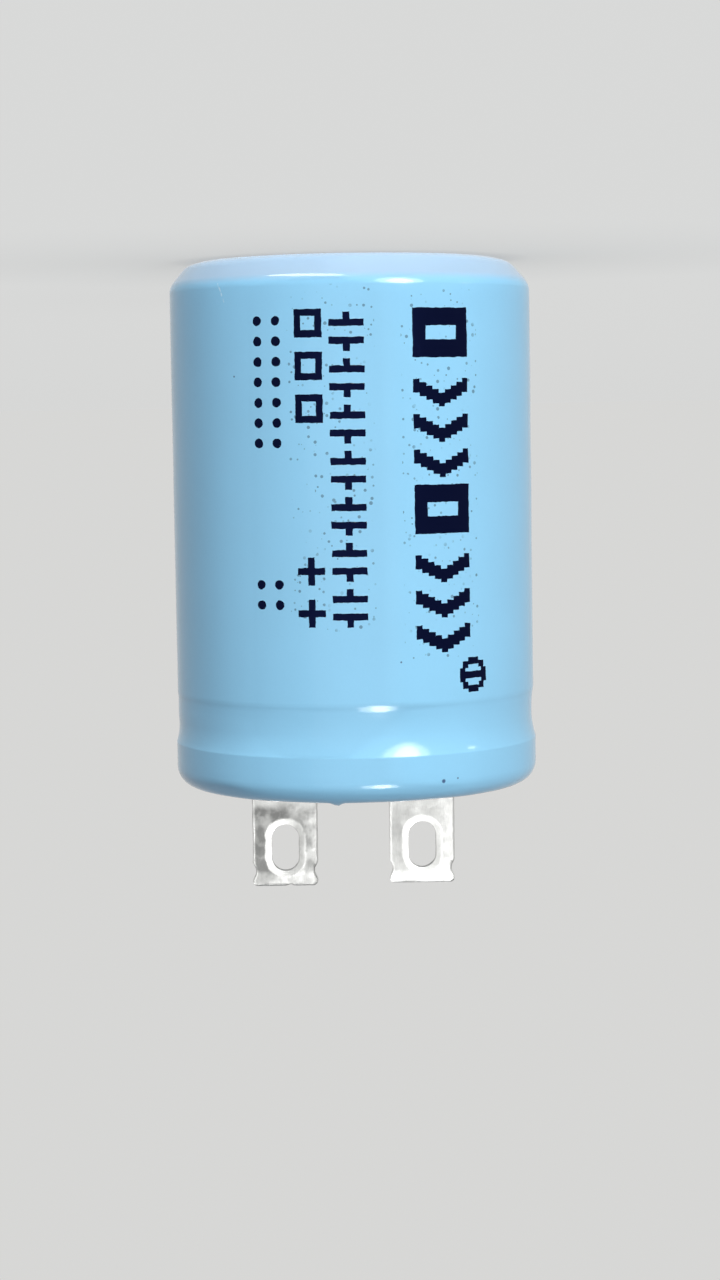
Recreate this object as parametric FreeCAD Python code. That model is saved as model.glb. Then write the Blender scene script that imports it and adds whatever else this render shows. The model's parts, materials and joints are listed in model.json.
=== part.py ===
import FreeCAD, Part
import math
import os

# A wound supercapacitor cell: a deep-drawn can in a shrunk sleeve, beaded and crimped over a laminated
# header that carries two riveted solder lugs. It stands on its closed end, centred on the Z axis, with the
# lugs up and their flat faces towards -Y and +Y. All sizes are in millimetres.

# Can, with a slanted shoulder round its closed end
can_diameter = 25.4
can_wall = 0.5
can_length = 37.15
shoulder_inset = 1.3
shoulder_height = 1.7
shoulder_rounding = 1.2

# Crossed score lines of the relief vent in the closed end
vent_length = 12.0
vent_width = 0.7
vent_depth = 0.25

# Bead that carries the header, and the rim that is crimped over it
bead_depth = 1.5
bead_floor = 0.8
bead_flank = 1.1
bead_rounding = 0.4
rim_swell = 0.13
rim_height = 3.0
rim_rounding = 1.5
curl_radius = 1.1
curl_leg = 0.45
curl_bite = 0.3

# Shrunk sleeve: a lip over each end, and a slack dip where it bridges the bead
sleeve_wall = 0.25
sleeve_closed_lip = 2.2
sleeve_open_lip = 0.25
sleeve_dip = 0.2
sleeve_dip_height = 0.8
sleeve_dip_rounding = 0.7
sleeve_gap = 0.02

# Header: a phenolic board with a rubber facing
board_thickness = 2.0
board_chamfer = 0.3
seal_thickness = 1.2
header_clearance = 0.1

# Solder lugs, bent up from a riveted foot
lug_pitch = 10.0
lug_width = 4.75
lug_thickness = 0.6
lug_reach = 7.7
lug_bend = 0.5
lug_tip_rounding = 0.35
foot_width = 5.6
foot_reach = 2.9
step_height = 1.0
step_rounding = 0.2

# Oblong eye of a lug with its coined bevel, and the notches beside the eye
eye_width = 2.0
eye_length = 3.4
eye_setback = 2.8
coin_width = 0.4
coin_depth = 0.12
notch_depth = 0.32
notch_height = 1.25
notch_setback = 1.08
notch_rounding = 0.25

# Rivets, and the washers under their inner heads
rivet_diameter = 2.5
rivet_clearance = 0.03
head_diameter = 4.6
head_height = 0.8
peen_diameter = 4.2
peen_height = 0.7
peen_rounding = 0.5
dimple_diameter = 1.4
dimple_depth = 0.25
washer_diameter = 5.2
washer_thickness = 0.4

# Tabs from the wound element to the rivets
tab_width = 5.0
tab_thickness = 0.25
tab_margin = 2.8
tab_run = 4.5
tab_bend = 0.5
tab_insertion = 10.0

# Wound element, the tape round it and the pad under it
roll_clearance = 0.5
roll_headroom = 0.9
core_diameter = 4.0
tape_thickness = 0.1
tape_height = 20.0
pad_clearance = 0.3

# Levels, from the crown of the crimp down through the header to the bead
base_level = sleeve_wall
floor_level = base_level + can_wall
crown_level = base_level + can_length
curl_tip = crown_level - curl_radius - curl_leg
seal_top = curl_tip + curl_bite
board_top = seal_top - seal_thickness
board_bottom = board_top - board_thickness
ledge_level = board_bottom - can_wall
bead_low = ledge_level - bead_floor
bead_start = bead_low - bead_flank
rim_start = crown_level - rim_height

# Radii of the can, and the sleeve's sag from the wall over the bead up to the rim
can_radius = can_diameter / 2
bead_radius = can_radius - bead_depth
rim_radius = can_radius + rim_swell
curl_inside = rim_radius - 2 * curl_radius
dip_level = bead_start + sleeve_dip_height
dip_radius = can_radius - sleeve_dip
sag_slope = (rim_radius - dip_radius) / (rim_start - dip_level)
rim_root = dip_radius + sag_slope * (ledge_level - dip_level) - sleeve_gap
header_radius = rim_root - can_wall - header_clearance

# The roll ends clear of the bead above and of the shoulder's slanted inside below, where a pad fills in
shoulder_ease = (math.hypot(shoulder_inset, shoulder_height) - shoulder_inset) / shoulder_height
floor_radius = can_radius - shoulder_inset - can_wall * shoulder_ease
roll_radius = can_radius - can_wall - roll_clearance
tape_radius = roll_radius + tape_thickness
roll_top = bead_start - roll_headroom
roll_bottom = floor_level + (tape_radius - floor_radius) * shoulder_height / shoulder_inset
pad_radius = floor_radius - shoulder_rounding * shoulder_ease - pad_clearance

# Stack that each rivet clamps, and the lugs' upper end
foot_top = seal_top + lug_thickness
tab_bottom = board_bottom - tab_thickness
washer_bottom = tab_bottom - washer_thickness
tip_level = crown_level + sleeve_wall + lug_reach
rivet_hole_radius = rivet_diameter / 2 + rivet_clearance
terminal_places = {"positive": lug_pitch / 2, "negative": -lug_pitch / 2}

Z_AXIS = FreeCAD.Vector(0, 0, 1)
TINY = 1e-6


def in_front(u, v):
    """Point of a front outline, or of a half section with its radius along X."""
    return FreeCAD.Vector(u, 0, v)


def in_side(u, v):
    """Point of a side outline."""
    return FreeCAD.Vector(0, u, v)


def in_plan(u, v):
    """Point of an outline seen from above."""
    return FreeCAD.Vector(u, v, 0)


def heading(start, end):
    """Direction of travel from one corner to the next."""
    return math.atan2(end[1] - start[1], end[0] - start[0])


def turn_at(before, here, after):
    """Angle by which a path turns at a corner, positive to the left."""
    return math.remainder(heading(here, after) - heading(before, here), math.tau)


def eased(corners, closed=False):
    """Corners (u, v, rounding) with each rounding limited by the legs that it shares with its neighbours."""
    last = len(corners) - 1
    result = []
    for i, (u, v, rounding) in enumerate(corners):
        if rounding:
            before = corners[i - 1]
            after = corners[(i + 1) % len(corners)]
            into = math.dist(before[:2], (u, v)) * (0.5 if closed or i > 1 else 1)
            out = math.dist((u, v), after[:2]) * (0.5 if closed or i + 1 < last else 1)
            ease = math.tan(abs(turn_at(before, (u, v), after)) / 2)
            rounding = min(rounding, into / ease, out / ease)
        result.append((u, v, rounding))
    return result


def shifted(corners, distance):
    """An open path moved to its left, with each rounding about the same centre."""
    last = len(corners) - 1
    result = []
    for i, (u, v, rounding) in enumerate(corners):
        first = heading(corners[max(i, 1) - 1], corners[max(i, 1)])
        turn = turn_at(corners[i - 1], (u, v), corners[i + 1]) if 0 < i < last else 0.0
        reach = distance / math.cos(turn / 2)
        normal = first + turn / 2 + math.pi / 2
        if rounding:
            rounding = max(rounding - (distance if turn > 0 else -distance), 0)
        result.append((u + reach * math.cos(normal), v + reach * math.sin(normal), rounding))
    return result


def path_edges(corners, place, closed=False):
    """Straight edges and tangent arcs along rounded corners."""
    spans = []
    for i, (u, v, rounding) in enumerate(corners):
        if rounding < TINY:
            spans.append([place(u, v)])
            continue
        first = heading(corners[i - 1], (u, v))
        turn = turn_at(corners[i - 1], (u, v), corners[(i + 1) % len(corners)])
        cut = rounding * math.tan(abs(turn) / 2)
        crest = rounding * (1 / math.cos(turn / 2) - 1)
        inward = first + turn / 2 + math.copysign(math.pi / 2, turn)
        spans.append([
            place(u - cut * math.cos(first), v - cut * math.sin(first)),
            place(u + crest * math.cos(inward), v + crest * math.sin(inward)),
            place(u + cut * math.cos(first + turn), v + cut * math.sin(first + turn)),
        ])
    edges = []
    for i, span in enumerate(spans):
        if len(span) == 3:
            edges.append(Part.Arc(*span).toShape())
        if closed or i + 1 < len(spans):
            end = spans[(i + 1) % len(spans)][0]
            if span[-1].distanceToPoint(end) > TINY:
                edges.append(Part.LineSegment(span[-1], end).toShape())
    return edges


def outline_face(corners, place):
    """Flat face inside a closed outline of rounded corners."""
    return Part.Face(Part.Wire(Part.__sortEdges__(path_edges(eased(corners, True), place, True))))


def sheet_face(corners, thickness, place):
    """Section of a bent sheet: the strip between a path and its copy shifted to the left."""
    near = eased(corners)
    far = shifted(near, thickness)
    edges = path_edges(near, place) + path_edges(far, place)
    for i in (0, -1):
        edges.append(Part.LineSegment(place(*near[i][:2]), place(*far[i][:2])).toShape())
    return Part.Face(Part.Wire(Part.__sortEdges__(edges)))


def turned(face):
    """Solid of a half section turned about the Z axis."""
    return face.revolve(FreeCAD.Vector(), Z_AXIS, 360)


def centred_extrusion(face, direction, length):
    """Prism that reaches half its length to each side of a face."""
    half = FreeCAD.Vector(direction).multiply(length / 2)
    return face.translated(-half).extrude(half * 2)


def disc(radius, bottom, top, x=0.0, y=0.0):
    """Upright cylinder between two levels."""
    return Part.makeCylinder(radius, top - bottom, FreeCAD.Vector(x, y, bottom))


def shoulder_corners():
    """Outside of the can's shoulder, which the sleeve follows."""
    return [
        (can_radius - shoulder_inset, base_level, shoulder_rounding),
        (can_radius, base_level + shoulder_height, shoulder_rounding),
    ]


def rim_corners():
    """Outside of the crimped rim, which the sleeve follows."""
    return [
        (rim_radius, rim_start, rim_rounding),
        (rim_radius, crown_level, curl_radius),
    ]


def vent_groove():
    """V-shaped score line across the middle of the closed end."""
    corners = [
        (-vent_width / 2, base_level, 0),
        (vent_width / 2, base_level, 0),
        (0, base_level + vent_depth, 0),
    ]
    return centred_extrusion(outline_face(corners, in_front), (0, 1, 0), vent_length)


def can():
    """Drawn shell: scored closed end, shoulder, wall, bead, and a rim curled down into the header."""
    corners = [
        (0, base_level, 0),
        *shoulder_corners(),
        (can_radius, bead_start, bead_rounding + can_wall),
        (bead_radius, bead_low, bead_rounding),
        (bead_radius, ledge_level, bead_rounding),
        (rim_root, ledge_level, bead_rounding + can_wall),
        *rim_corners(),
        (curl_inside, crown_level, curl_radius),
        (curl_inside, curl_tip, 0),
    ]
    shell = turned(sheet_face(corners, can_wall, in_front))
    for angle in (45, 135):
        shell = shell.cut(vent_groove().rotated(FreeCAD.Vector(), Z_AXIS, angle))
    return shell


def sleeve():
    """Thin tube over the can that keeps to its shoulder, wall and rim, and sags over the bead."""
    corners = [
        (can_radius - shoulder_inset - sleeve_closed_lip, base_level, 0),
        *shoulder_corners(),
        (can_radius, bead_start, sleeve_dip_rounding),
        (dip_radius, dip_level, sleeve_dip_rounding),
        *rim_corners(),
        (rim_radius - curl_radius - sleeve_open_lip, crown_level, 0),
    ]
    return turned(sheet_face(corners, -sleeve_wall, in_front))


def with_rivet_holes(solid):
    """A header disc with a hole for each rivet."""
    for place in terminal_places.values():
        solid = solid.cut(disc(rivet_hole_radius, board_bottom, seal_top, place, foot_reach))
    return solid


def header_board():
    """Stiff disc on the bead's ledge, with its lower edge broken."""
    corners = [
        (0, board_bottom, 0),
        (header_radius - board_chamfer, board_bottom, 0),
        (header_radius, board_bottom + board_chamfer, 0),
        (header_radius, board_top, 0),
        (0, board_top, 0),
    ]
    return with_rivet_holes(turned(outline_face(corners, in_front)))


def header_seal():
    """Rubber disc with the ring that the curl presses into it."""
    bite = disc(curl_inside + can_wall, curl_tip, seal_top).cut(disc(curl_inside, curl_tip, seal_top))
    return with_rivet_holes(disc(header_radius, board_top, seal_top).cut(bite))


def blade_outline():
    """Front outline of a lug: wide foot, step, straight sides, a notch each side and rounded tip corners."""
    notch_level = tip_level - notch_setback
    step_level = foot_top + step_height
    right = [
        (foot_width / 2, seal_top, 0),
        (foot_width / 2, step_level, step_rounding),
        (lug_width / 2, step_level, step_rounding),
        (lug_width / 2, notch_level - notch_height / 2, notch_rounding),
        (lug_width / 2 - notch_depth, notch_level, notch_rounding),
        (lug_width / 2, notch_level + notch_height / 2, notch_rounding),
        (lug_width / 2, tip_level, lug_tip_rounding),
    ]
    left = [(-u, v, rounding) for u, v, rounding in reversed(right)]
    return right + left


def foot_outline():
    """Plan of a lug: the foot is rounded about its rivet."""
    end = foot_reach + foot_width / 2
    return [
        (foot_width / 2, -lug_thickness, 0),
        (foot_width / 2, end, foot_width / 2),
        (-foot_width / 2, end, foot_width / 2),
        (-foot_width / 2, -lug_thickness, 0),
    ]


def eye_wire(growth, depth):
    """Oblong outline of the eye, grown all round, at a depth along Y."""
    half = eye_width / 2 + growth
    reach = eye_length / 2 + growth
    level = tip_level - eye_setback
    corners = [(u, level + v, half) for u, v in ((half, -reach), (half, reach), (-half, reach), (-half, -reach))]
    edges = path_edges(eased(corners, True), in_front, True)
    return Part.Wire(Part.__sortEdges__(edges)).translated(FreeCAD.Vector(0, depth, 0))


def lug(place):
    """Strip bent up from its foot and trimmed to its outlines, with a coined eye and a rivet hole."""
    face_depth = -lug_thickness / 2
    fold = [
        (foot_reach + foot_width / 2, seal_top, 0),
        (face_depth, seal_top, lug_bend + lug_thickness),
        (face_depth, tip_level, 0),
    ]
    strip = centred_extrusion(sheet_face(fold, -lug_thickness, in_side), (1, 0, 0), foot_width)
    blank_depth = 2 * (foot_reach + foot_width)
    front = centred_extrusion(outline_face(blade_outline(), in_front), (0, 1, 0), blank_depth)
    plan = outline_face(foot_outline(), in_plan).extrude(Z_AXIS * tip_level)
    eye = centred_extrusion(Part.Face(eye_wire(0, 0)), (0, 1, 0), 2 * lug_thickness)
    coin = Part.makeLoft([eye_wire(coin_width, face_depth), eye_wire(0, face_depth + coin_depth)], True)
    hole = disc(rivet_hole_radius, seal_top, foot_top, 0, foot_reach)
    blank = strip.common(front).common(plan)
    return blank.cut(eye).cut(coin).cut(hole).translated(FreeCAD.Vector(place, 0, 0))


def rivet(place):
    """Rivet with a flat inner head and an outer end peened over the lug's foot, with the tool's dimple."""
    peen_top = foot_top + peen_height
    corners = [
        (0, washer_bottom - head_height, 0),
        (head_diameter / 2, washer_bottom - head_height, 0),
        (head_diameter / 2, washer_bottom, 0),
        (rivet_diameter / 2, washer_bottom, 0),
        (rivet_diameter / 2, foot_top, 0),
        (peen_diameter / 2, foot_top, 0),
        (peen_diameter / 2, peen_top, peen_rounding),
        (dimple_diameter / 2, peen_top, 0),
        (0, peen_top - dimple_depth, 0),
    ]
    return turned(outline_face(corners, in_front)).translated(FreeCAD.Vector(place, foot_reach, 0))


def washer(place):
    """Flat ring between a tab and the rivet's inner head."""
    ring = disc(washer_diameter / 2, washer_bottom, tab_bottom, place, foot_reach)
    return ring.cut(disc(rivet_hole_radius, washer_bottom, tab_bottom, place, foot_reach))


def tab(place):
    """Strip from under the rivet, bent down into the wound element."""
    leg = foot_reach - tab_run
    fold = [
        (foot_reach + tab_margin, board_bottom, 0),
        (leg, board_bottom, tab_bend + tab_thickness),
        (leg, roll_top - tab_insertion, 0),
    ]
    strip = centred_extrusion(sheet_face(fold, tab_thickness, in_side), (1, 0, 0), tab_width)
    hole = disc(rivet_hole_radius, tab_bottom, board_bottom, 0, foot_reach)
    return strip.cut(hole).translated(FreeCAD.Vector(place, 0, 0))


def wound_element():
    """The roll, open at its core, with a tab let in between its turns on each side."""
    roll = disc(roll_radius, roll_bottom, roll_top).cut(disc(core_diameter / 2, roll_bottom, roll_top))
    for place in terminal_places.values():
        roll = roll.cut(tab(place))
    return roll


def element_tape():
    """Band round the middle of the roll."""
    bottom = (roll_bottom + roll_top - tape_height) / 2
    band = disc(tape_radius, bottom, bottom + tape_height)
    return band.cut(disc(roll_radius, bottom, bottom + tape_height))


def base_pad():
    """Insulating disc on the can's floor that carries the roll."""
    return disc(pad_radius, floor_level, roll_bottom)


pieces = {
    "sleeve": sleeve(),
    "can": can(),
    "header_board": header_board(),
    "header_seal": header_seal(),
    "wound_element": wound_element(),
    "element_tape": element_tape(),
    "base_pad": base_pad(),
}
for pole, place in terminal_places.items():
    pieces[f"{pole}_lug"] = lug(place)
    pieces[f"{pole}_rivet"] = rivet(place)
    pieces[f"{pole}_washer"] = washer(place)
    pieces[f"{pole}_tab"] = tab(place)

os.makedirs("parts", exist_ok=True)
for name, shape in pieces.items():
    solid, = shape.Solids
    solid.exportStep(f"parts/{name}.step")
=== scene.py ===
import json
import math

import bmesh
import bpy
from bpy.props import FloatProperty, FloatVectorProperty, IntProperty, PointerProperty
from mathutils import Matrix, Vector, noise


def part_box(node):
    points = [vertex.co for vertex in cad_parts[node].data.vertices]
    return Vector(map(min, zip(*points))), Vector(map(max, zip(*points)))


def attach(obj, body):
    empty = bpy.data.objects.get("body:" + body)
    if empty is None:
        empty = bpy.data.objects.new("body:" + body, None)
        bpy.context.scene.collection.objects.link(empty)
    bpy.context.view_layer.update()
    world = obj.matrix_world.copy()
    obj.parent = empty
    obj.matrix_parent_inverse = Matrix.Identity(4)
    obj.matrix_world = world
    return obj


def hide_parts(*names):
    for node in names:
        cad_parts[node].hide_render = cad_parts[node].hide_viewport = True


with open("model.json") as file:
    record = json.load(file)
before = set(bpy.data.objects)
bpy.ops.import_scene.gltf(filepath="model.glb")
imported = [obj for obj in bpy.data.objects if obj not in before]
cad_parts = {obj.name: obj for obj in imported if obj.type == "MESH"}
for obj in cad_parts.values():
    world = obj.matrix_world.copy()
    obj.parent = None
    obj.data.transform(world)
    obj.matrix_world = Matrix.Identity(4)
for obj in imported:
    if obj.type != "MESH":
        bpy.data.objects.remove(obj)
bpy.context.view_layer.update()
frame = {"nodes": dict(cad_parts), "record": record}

bl_info = {
    "name": "Sleeved Supercapacitor",
    "version": (1, 0, 0),
    "blender": (4, 5, 0),
    "location": "3D View > Sidebar > Supercapacitor",
    "description": "Dresses a crimped supercapacitor cell: printed shrunk sleeve, tinned lugs and header",
    "category": "Object",
}

MM = 0.001
MOUNTS = {mount["name"]: mount for mount in frame["record"]["mounts"]}
WALL_RADIUS = MOUNTS["body_band"]["dims"]["r_mm"] * MM
SLEEVE_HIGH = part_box("sleeve")[1]
LUG_LOW, LUG_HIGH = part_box("positive_lug")
EYES = {pole: Vector(MOUNTS[f"{pole}_eye"]["pos_m"]) for pole in ("positive", "negative")}


# Sizes and colours that a user would change


class SleeveLook(bpy.types.PropertyGroup):
    """Shrunk film round the can"""

    wall: FloatProperty(name="Wall", description="Thickness of the film", default=0.25 * MM, unit="LENGTH")
    shoulder_inset: FloatProperty(
        name="Shoulder Inset", description="How far the closed end is drawn in",
        default=1.2 * MM, unit="LENGTH")
    shoulder_height: FloatProperty(
        name="Shoulder Height", description="Height of the closed end's slope",
        default=1.78 * MM, unit="LENGTH")
    foot_rise: FloatProperty(
        name="Foot Rise", description="Height of the slope's foot above the lip",
        default=0.3 * MM, unit="LENGTH")
    closed_lip: FloatProperty(
        name="Closed Lip", description="Width of the fold under the closed end",
        default=2.32 * MM, unit="LENGTH")
    open_lip: FloatProperty(
        name="Open Lip", description="Width of the fold over the crimp",
        default=1.6 * MM, unit="LENGTH")
    dip_start: FloatProperty(
        name="Dip Start", description="Level where the wall turns in over the bead",
        default=30.82 * MM, unit="LENGTH")
    dip_level: FloatProperty(
        name="Dip Level", description="Level where the dip eases into the waist",
        default=31.17 * MM, unit="LENGTH")
    dip_depth: FloatProperty(
        name="Dip Depth", description="How far the film turns in over the bead",
        default=0.075 * MM, unit="LENGTH")
    rim_start: FloatProperty(
        name="Rim Start", description="Level where the film reaches the rim",
        default=34.4 * MM, unit="LENGTH")
    ripple: FloatProperty(
        name="Ripple", description="Unevenness left by the shrinking",
        default=0.04 * MM, unit="LENGTH")
    around: IntProperty(name="Steps Around", description="Faces round the film", default=288, min=24)
    colour: FloatVectorProperty(
        name="Film", description="Colour of the film",
        default=(0.288, 0.615, 0.845), subtype="COLOR")
    # Paler film over the shoulder, partly film stretched thin there and partly a painted reflection
    pale: FloatVectorProperty(
        name="Drawn Film", description="Colour of the film drawn over the shoulder",
        default=(0.385, 0.522, 0.66), subtype="COLOR")
    ink: FloatVectorProperty(
        name="Ink", description="Colour of the print",
        default=(0.002, 0.005, 0.034), subtype="COLOR")


class LugLook(bpy.types.PropertyGroup):
    """Tinned solder lugs"""

    blade_width: FloatProperty(
        name="Blade Width", description="Width of a blade",
        default=4.75 * MM, unit="LENGTH")
    thickness: FloatProperty(
        name="Thickness", description="Thickness of the sheet",
        default=0.6 * MM, unit="LENGTH")
    bend: FloatProperty(
        name="Bend", description="Radius of the fold, at the middle of the sheet",
        default=0.8 * MM, unit="LENGTH")
    step: FloatProperty(
        name="Step", description="Height of the wide root above the foot",
        default=1.0 * MM, unit="LENGTH")
    eye_width: FloatProperty(
        name="Eye Width", description="Width of the eye",
        default=2.0 * MM, unit="LENGTH")
    eye_length: FloatProperty(
        name="Eye Length", description="Length of the eye",
        default=3.4 * MM, unit="LENGTH")
    coin_width: FloatProperty(
        name="Coin Width", description="Width of the bevel round the eye",
        default=0.4 * MM, unit="LENGTH")
    coin_depth: FloatProperty(
        name="Coin Depth", description="Depth of the bevel round the eye",
        default=0.07 * MM, unit="LENGTH")
    rivet_hole: FloatProperty(
        name="Rivet Hole", description="Radius of the hole in the foot",
        default=1.28 * MM, unit="LENGTH")
    crumple: FloatProperty(
        name="Crumple", description="Unevenness of the tinned sheet",
        default=0.045 * MM, unit="LENGTH")
    colour: FloatVectorProperty(
        name="Tin", description="Colour of the tinning",
        default=(0.82, 0.825, 0.81), subtype="COLOR")


class StageLook(bpy.types.PropertyGroup):
    """Floor, lamps and camera"""

    backdrop: FloatVectorProperty(
        name="Backdrop", description="Colour of the floor and of the room behind it",
        default=(0.68, 0.68, 0.67), subtype="COLOR")
    ambient: FloatVectorProperty(
        name="Ambient", description="Cool, even light of the room itself",
        default=(0.025, 0.07, 0.115), subtype="COLOR")
    lens: FloatProperty(
        name="Lens", description="Focal length in millimetres",
        default=77.3, min=1.0, unit="CAMERA")


# Shader nodes written as Python expressions


class Term:
    """Output of a node; arithmetic on numbers adds Math nodes"""

    def __init__(self, graph, socket):
        self.graph = graph
        self.socket = socket

    def math(self, operation, *values):
        return self.graph.node("ShaderNodeMath", {"operation": operation}, dict(enumerate(values)))

    def output(self, name):
        """Another output of the same node"""
        return Term(self.graph, self.socket.node.outputs[name])

    def __add__(self, other):
        return self.math("ADD", self, other)

    def __radd__(self, other):
        return self.math("ADD", other, self)

    def __sub__(self, other):
        return self.math("SUBTRACT", self, other)

    def __rsub__(self, other):
        return self.math("SUBTRACT", other, self)

    def __mul__(self, other):
        return self.math("MULTIPLY", self, other)

    def __rmul__(self, other):
        return self.math("MULTIPLY", other, self)

    def __truediv__(self, other):
        return self.math("DIVIDE", self, other)

    def __mod__(self, other):
        return self.math("FLOORED_MODULO", self, other)

    def __neg__(self):
        return self.math("MULTIPLY", self, -1.0)

    def __abs__(self):
        return self.math("ABSOLUTE", self)

    def __or__(self, other):
        return self.math("MAXIMUM", self, other)

    def __gt__(self, other):
        return self.math("GREATER_THAN", self, other)

    def __lt__(self, other):
        return self.math("LESS_THAN", self, other)

    def root(self):
        return self.math("SQRT", self)

    def turn(self, ahead):
        """Angle in radians, from a distance aside and a distance ahead"""
        return self.math("ARCTAN2", self, ahead)

    def near(self, centre, reach):
        """1 within a reach of a centre, and 0 elsewhere"""
        return self.math("COMPARE", self, centre, reach)

    def between(self, low, high):
        """1 between two values, and 0 elsewhere"""
        return self.near((low + high) / 2, (high - low) / 2)

    def fade(self, low, high):
        """0 at one value, changing smoothly to 1 at another"""
        return self.graph.node(
            "ShaderNodeMapRange", {"interpolation_type": "SMOOTHSTEP"}, {"Value": self, 1: low, 2: high})


class Graph:
    """Nodes of a material or of the room"""

    def __init__(self, tree):
        self.tree = tree

    def feed(self, socket, value):
        """Links a term to a socket, or sets the socket's own value"""
        if isinstance(value, Term):
            self.tree.links.new(value.socket, socket)
        elif socket.type == "RGBA":
            socket.default_value = (*value[:3], 1.0)
        else:
            socket.default_value = value

    def node(self, kind, settings=None, inputs=None):
        """First output of a new node, with its settings made before its sockets are fed"""
        made = self.tree.nodes.new(kind)
        for name, value in (settings or {}).items():
            setattr(made, name, value)
        for key, value in (inputs or {}).items():
            self.feed(made.inputs[key], value)
        return Term(self, made.outputs[0])

    def mix(self, factor, first, second):
        """Blend of two colours"""
        return self.node("ShaderNodeMix", {"data_type": "RGBA"}, {0: factor, 6: first, 7: second}).output(2)

    def seen(self):
        """1 for what the camera sees, straight, by reflection or through the object, and 0 for light"""
        path = self.node("ShaderNodeLightPath")
        indirect = path.output("Is Glossy Ray") | path.output("Is Transmission Ray")
        return path.output("Is Camera Ray") | indirect


class Finish(Graph):
    """A procedural material and the nodes that shape it"""

    def __init__(self, name, **constants):
        self.material = bpy.data.materials.new(name)
        self.material.use_nodes = True
        super().__init__(self.material.node_tree)
        self.shader = self.tree.nodes["Principled BSDF"]
        self.place = self.node("ShaderNodeTexCoord").output("Object")
        for socket, value in constants.items():
            self.feed(self.shader.inputs[socket.replace("_", " ")], value)

    def axes(self, names="XYZ"):
        """Object coordinates along the named axes, in millimetres"""
        split = self.node("ShaderNodeSeparateXYZ", {}, {0: self.place})
        return [split.output(name) / MM for name in names]

    def noise(self, size, detail=2.0, place=None):
        """Cloudy noise from 0 to 1, with patches about that size across"""
        return self.node(
            "ShaderNodeTexNoise", {}, {"Vector": place or self.place, "Scale": 1 / size, "Detail": detail})

    def stretched(self, x, y, z):
        """Object coordinates with each axis scaled, for drawn-out grain"""
        return self.node("ShaderNodeMapping", {}, {"Vector": self.place, "Scale": (x, y, z)})

    def specks(self, size, smallest, largest):
        """Round specks between two radii, about one in each cube of that size"""
        cells = self.node("ShaderNodeTexVoronoi", {}, {"Vector": self.place, "Scale": 1 / size})
        chance = self.node("ShaderNodeSeparateColor", {}, {0: cells.output("Color")})
        return cells.output("Distance") < (chance * (largest - smallest) + smallest) / size

    def bump(self, height, depth):
        """Normal of a relief whose height runs from 0 to 1"""
        return self.node("ShaderNodeBump", {}, {"Height": height, "Distance": depth})

    def surface(self, colour, roughness, normal):
        """The material, once its shader is fed"""
        self.feed(self.shader.inputs["Base Color"], colour)
        self.feed(self.shader.inputs["Roughness"], roughness)
        self.feed(self.shader.inputs["Normal"], normal)
        return self.material


# Finishes


def tone(colour, level):
    """A colour made darker or lighter"""
    return tuple(min(channel * level, 1.0) for channel in colour)


# The print, in millimetres to the picture's right round the wall and up from the closed end
INK_CELL = 0.24
INK_WANDER = 0.14
PRINT_START = 16 * INK_CELL
STRIPE_CENTRE = 27 * INK_CELL
STRIPE_WIDTH = 18 * INK_CELL
STRIPE_GROUPS = 2
GROUP_LENGTH = 50 * INK_CELL
BLOCK_LENGTH = 14 * INK_CELL
BLOCK_MINUS = (10 * INK_CELL, 4 * INK_CELL)
ARROW_START = 18 * INK_CELL
ARROW_PITCH = 10 * INK_CELL
ARROW_COUNT = 3
ARROW_SLOPE = 0.5
ARROW_STROKE = 4 * INK_CELL
CHAIN_CENTRE = -1 * INK_CELL
CHAIN_WIDTH = 10 * INK_CELL
CHAIN_PITCH = 13 * INK_CELL
CHAIN_LINKS = 7
PLATE_STROKE = 2 * INK_CELL
PLATE_GAP = 3 * INK_CELL
LEAD_STROKE = 2 * INK_CELL
LEAD_END = 5.5 * INK_CELL
SIGN_CENTRE = -12 * INK_CELL
SIGN_WIDTH = 8 * INK_CELL
SIGN_STROKE = 2 * INK_CELL
SQUARE_LEVELS = [20 * INK_CELL, 32 * INK_CELL, 44 * INK_CELL]
PLUS_LEVELS = [90 * INK_CELL, 102 * INK_CELL]
DOT_CENTRE = -5.9
DOT_SPREAD = 0.7
DOT_RADIUS = 0.33
DOT_PITCH = 1.38
DOT_SPANS = ((3.9, 13.56), (21.84, 24.6))
RING_PLACE = (37 * INK_CELL, 121 * INK_CELL)
RING_RADIUS = 1.02
RING_STROKE = 0.36
RING_BAR = 0.6 * RING_RADIUS
# Stray ink beside the print: spacing, smallest and largest radius, size of its patches, and the areas
# that it lies in as centre across, reach, lowest and highest level
SPRAY_SPACING = 0.42 * MM
SPRAY_RADII = (0.02 * MM, 0.13 * MM)
SPRAY_PATCH = 1.8 * MM
SPRAY_AREAS = (
    (SIGN_CENTRE, 1.5, 2.6, 24.8),
    (CHAIN_CENTRE, 1.9, 2.2, 25.7),
    (STRIPE_CENTRE, 3.0, 2.5, 28.0),
)
# Handling marks: pits as (across, along, radius), their soft edge in parts of the radius, and a scratch
PITS = ((6.17, 36.24, 0.15), (7.3, 36.12, 0.07), (-8.6, 8.3, 0.07), (3.2, 27.9, 0.07))
PIT_EDGE = (0.6, 1.2)
SCRATCH_START = (-10.0, 1.9)
SCRATCH_END = (-9.3, 3.4)
SCRATCH_WIDTH = 0.09
SCRATCH_COLOUR = (0.75, 0.86, 0.92)
# Levels between which the paler film of the shoulder ends; it is partly stretched film and partly a painted
# reflection
PALE_SPAN = (1.3, 2.0)
FILM_IOR = 1.53
# How far the ink takes away the gloss of the film under it
INK_MATT = 0.93


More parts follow.
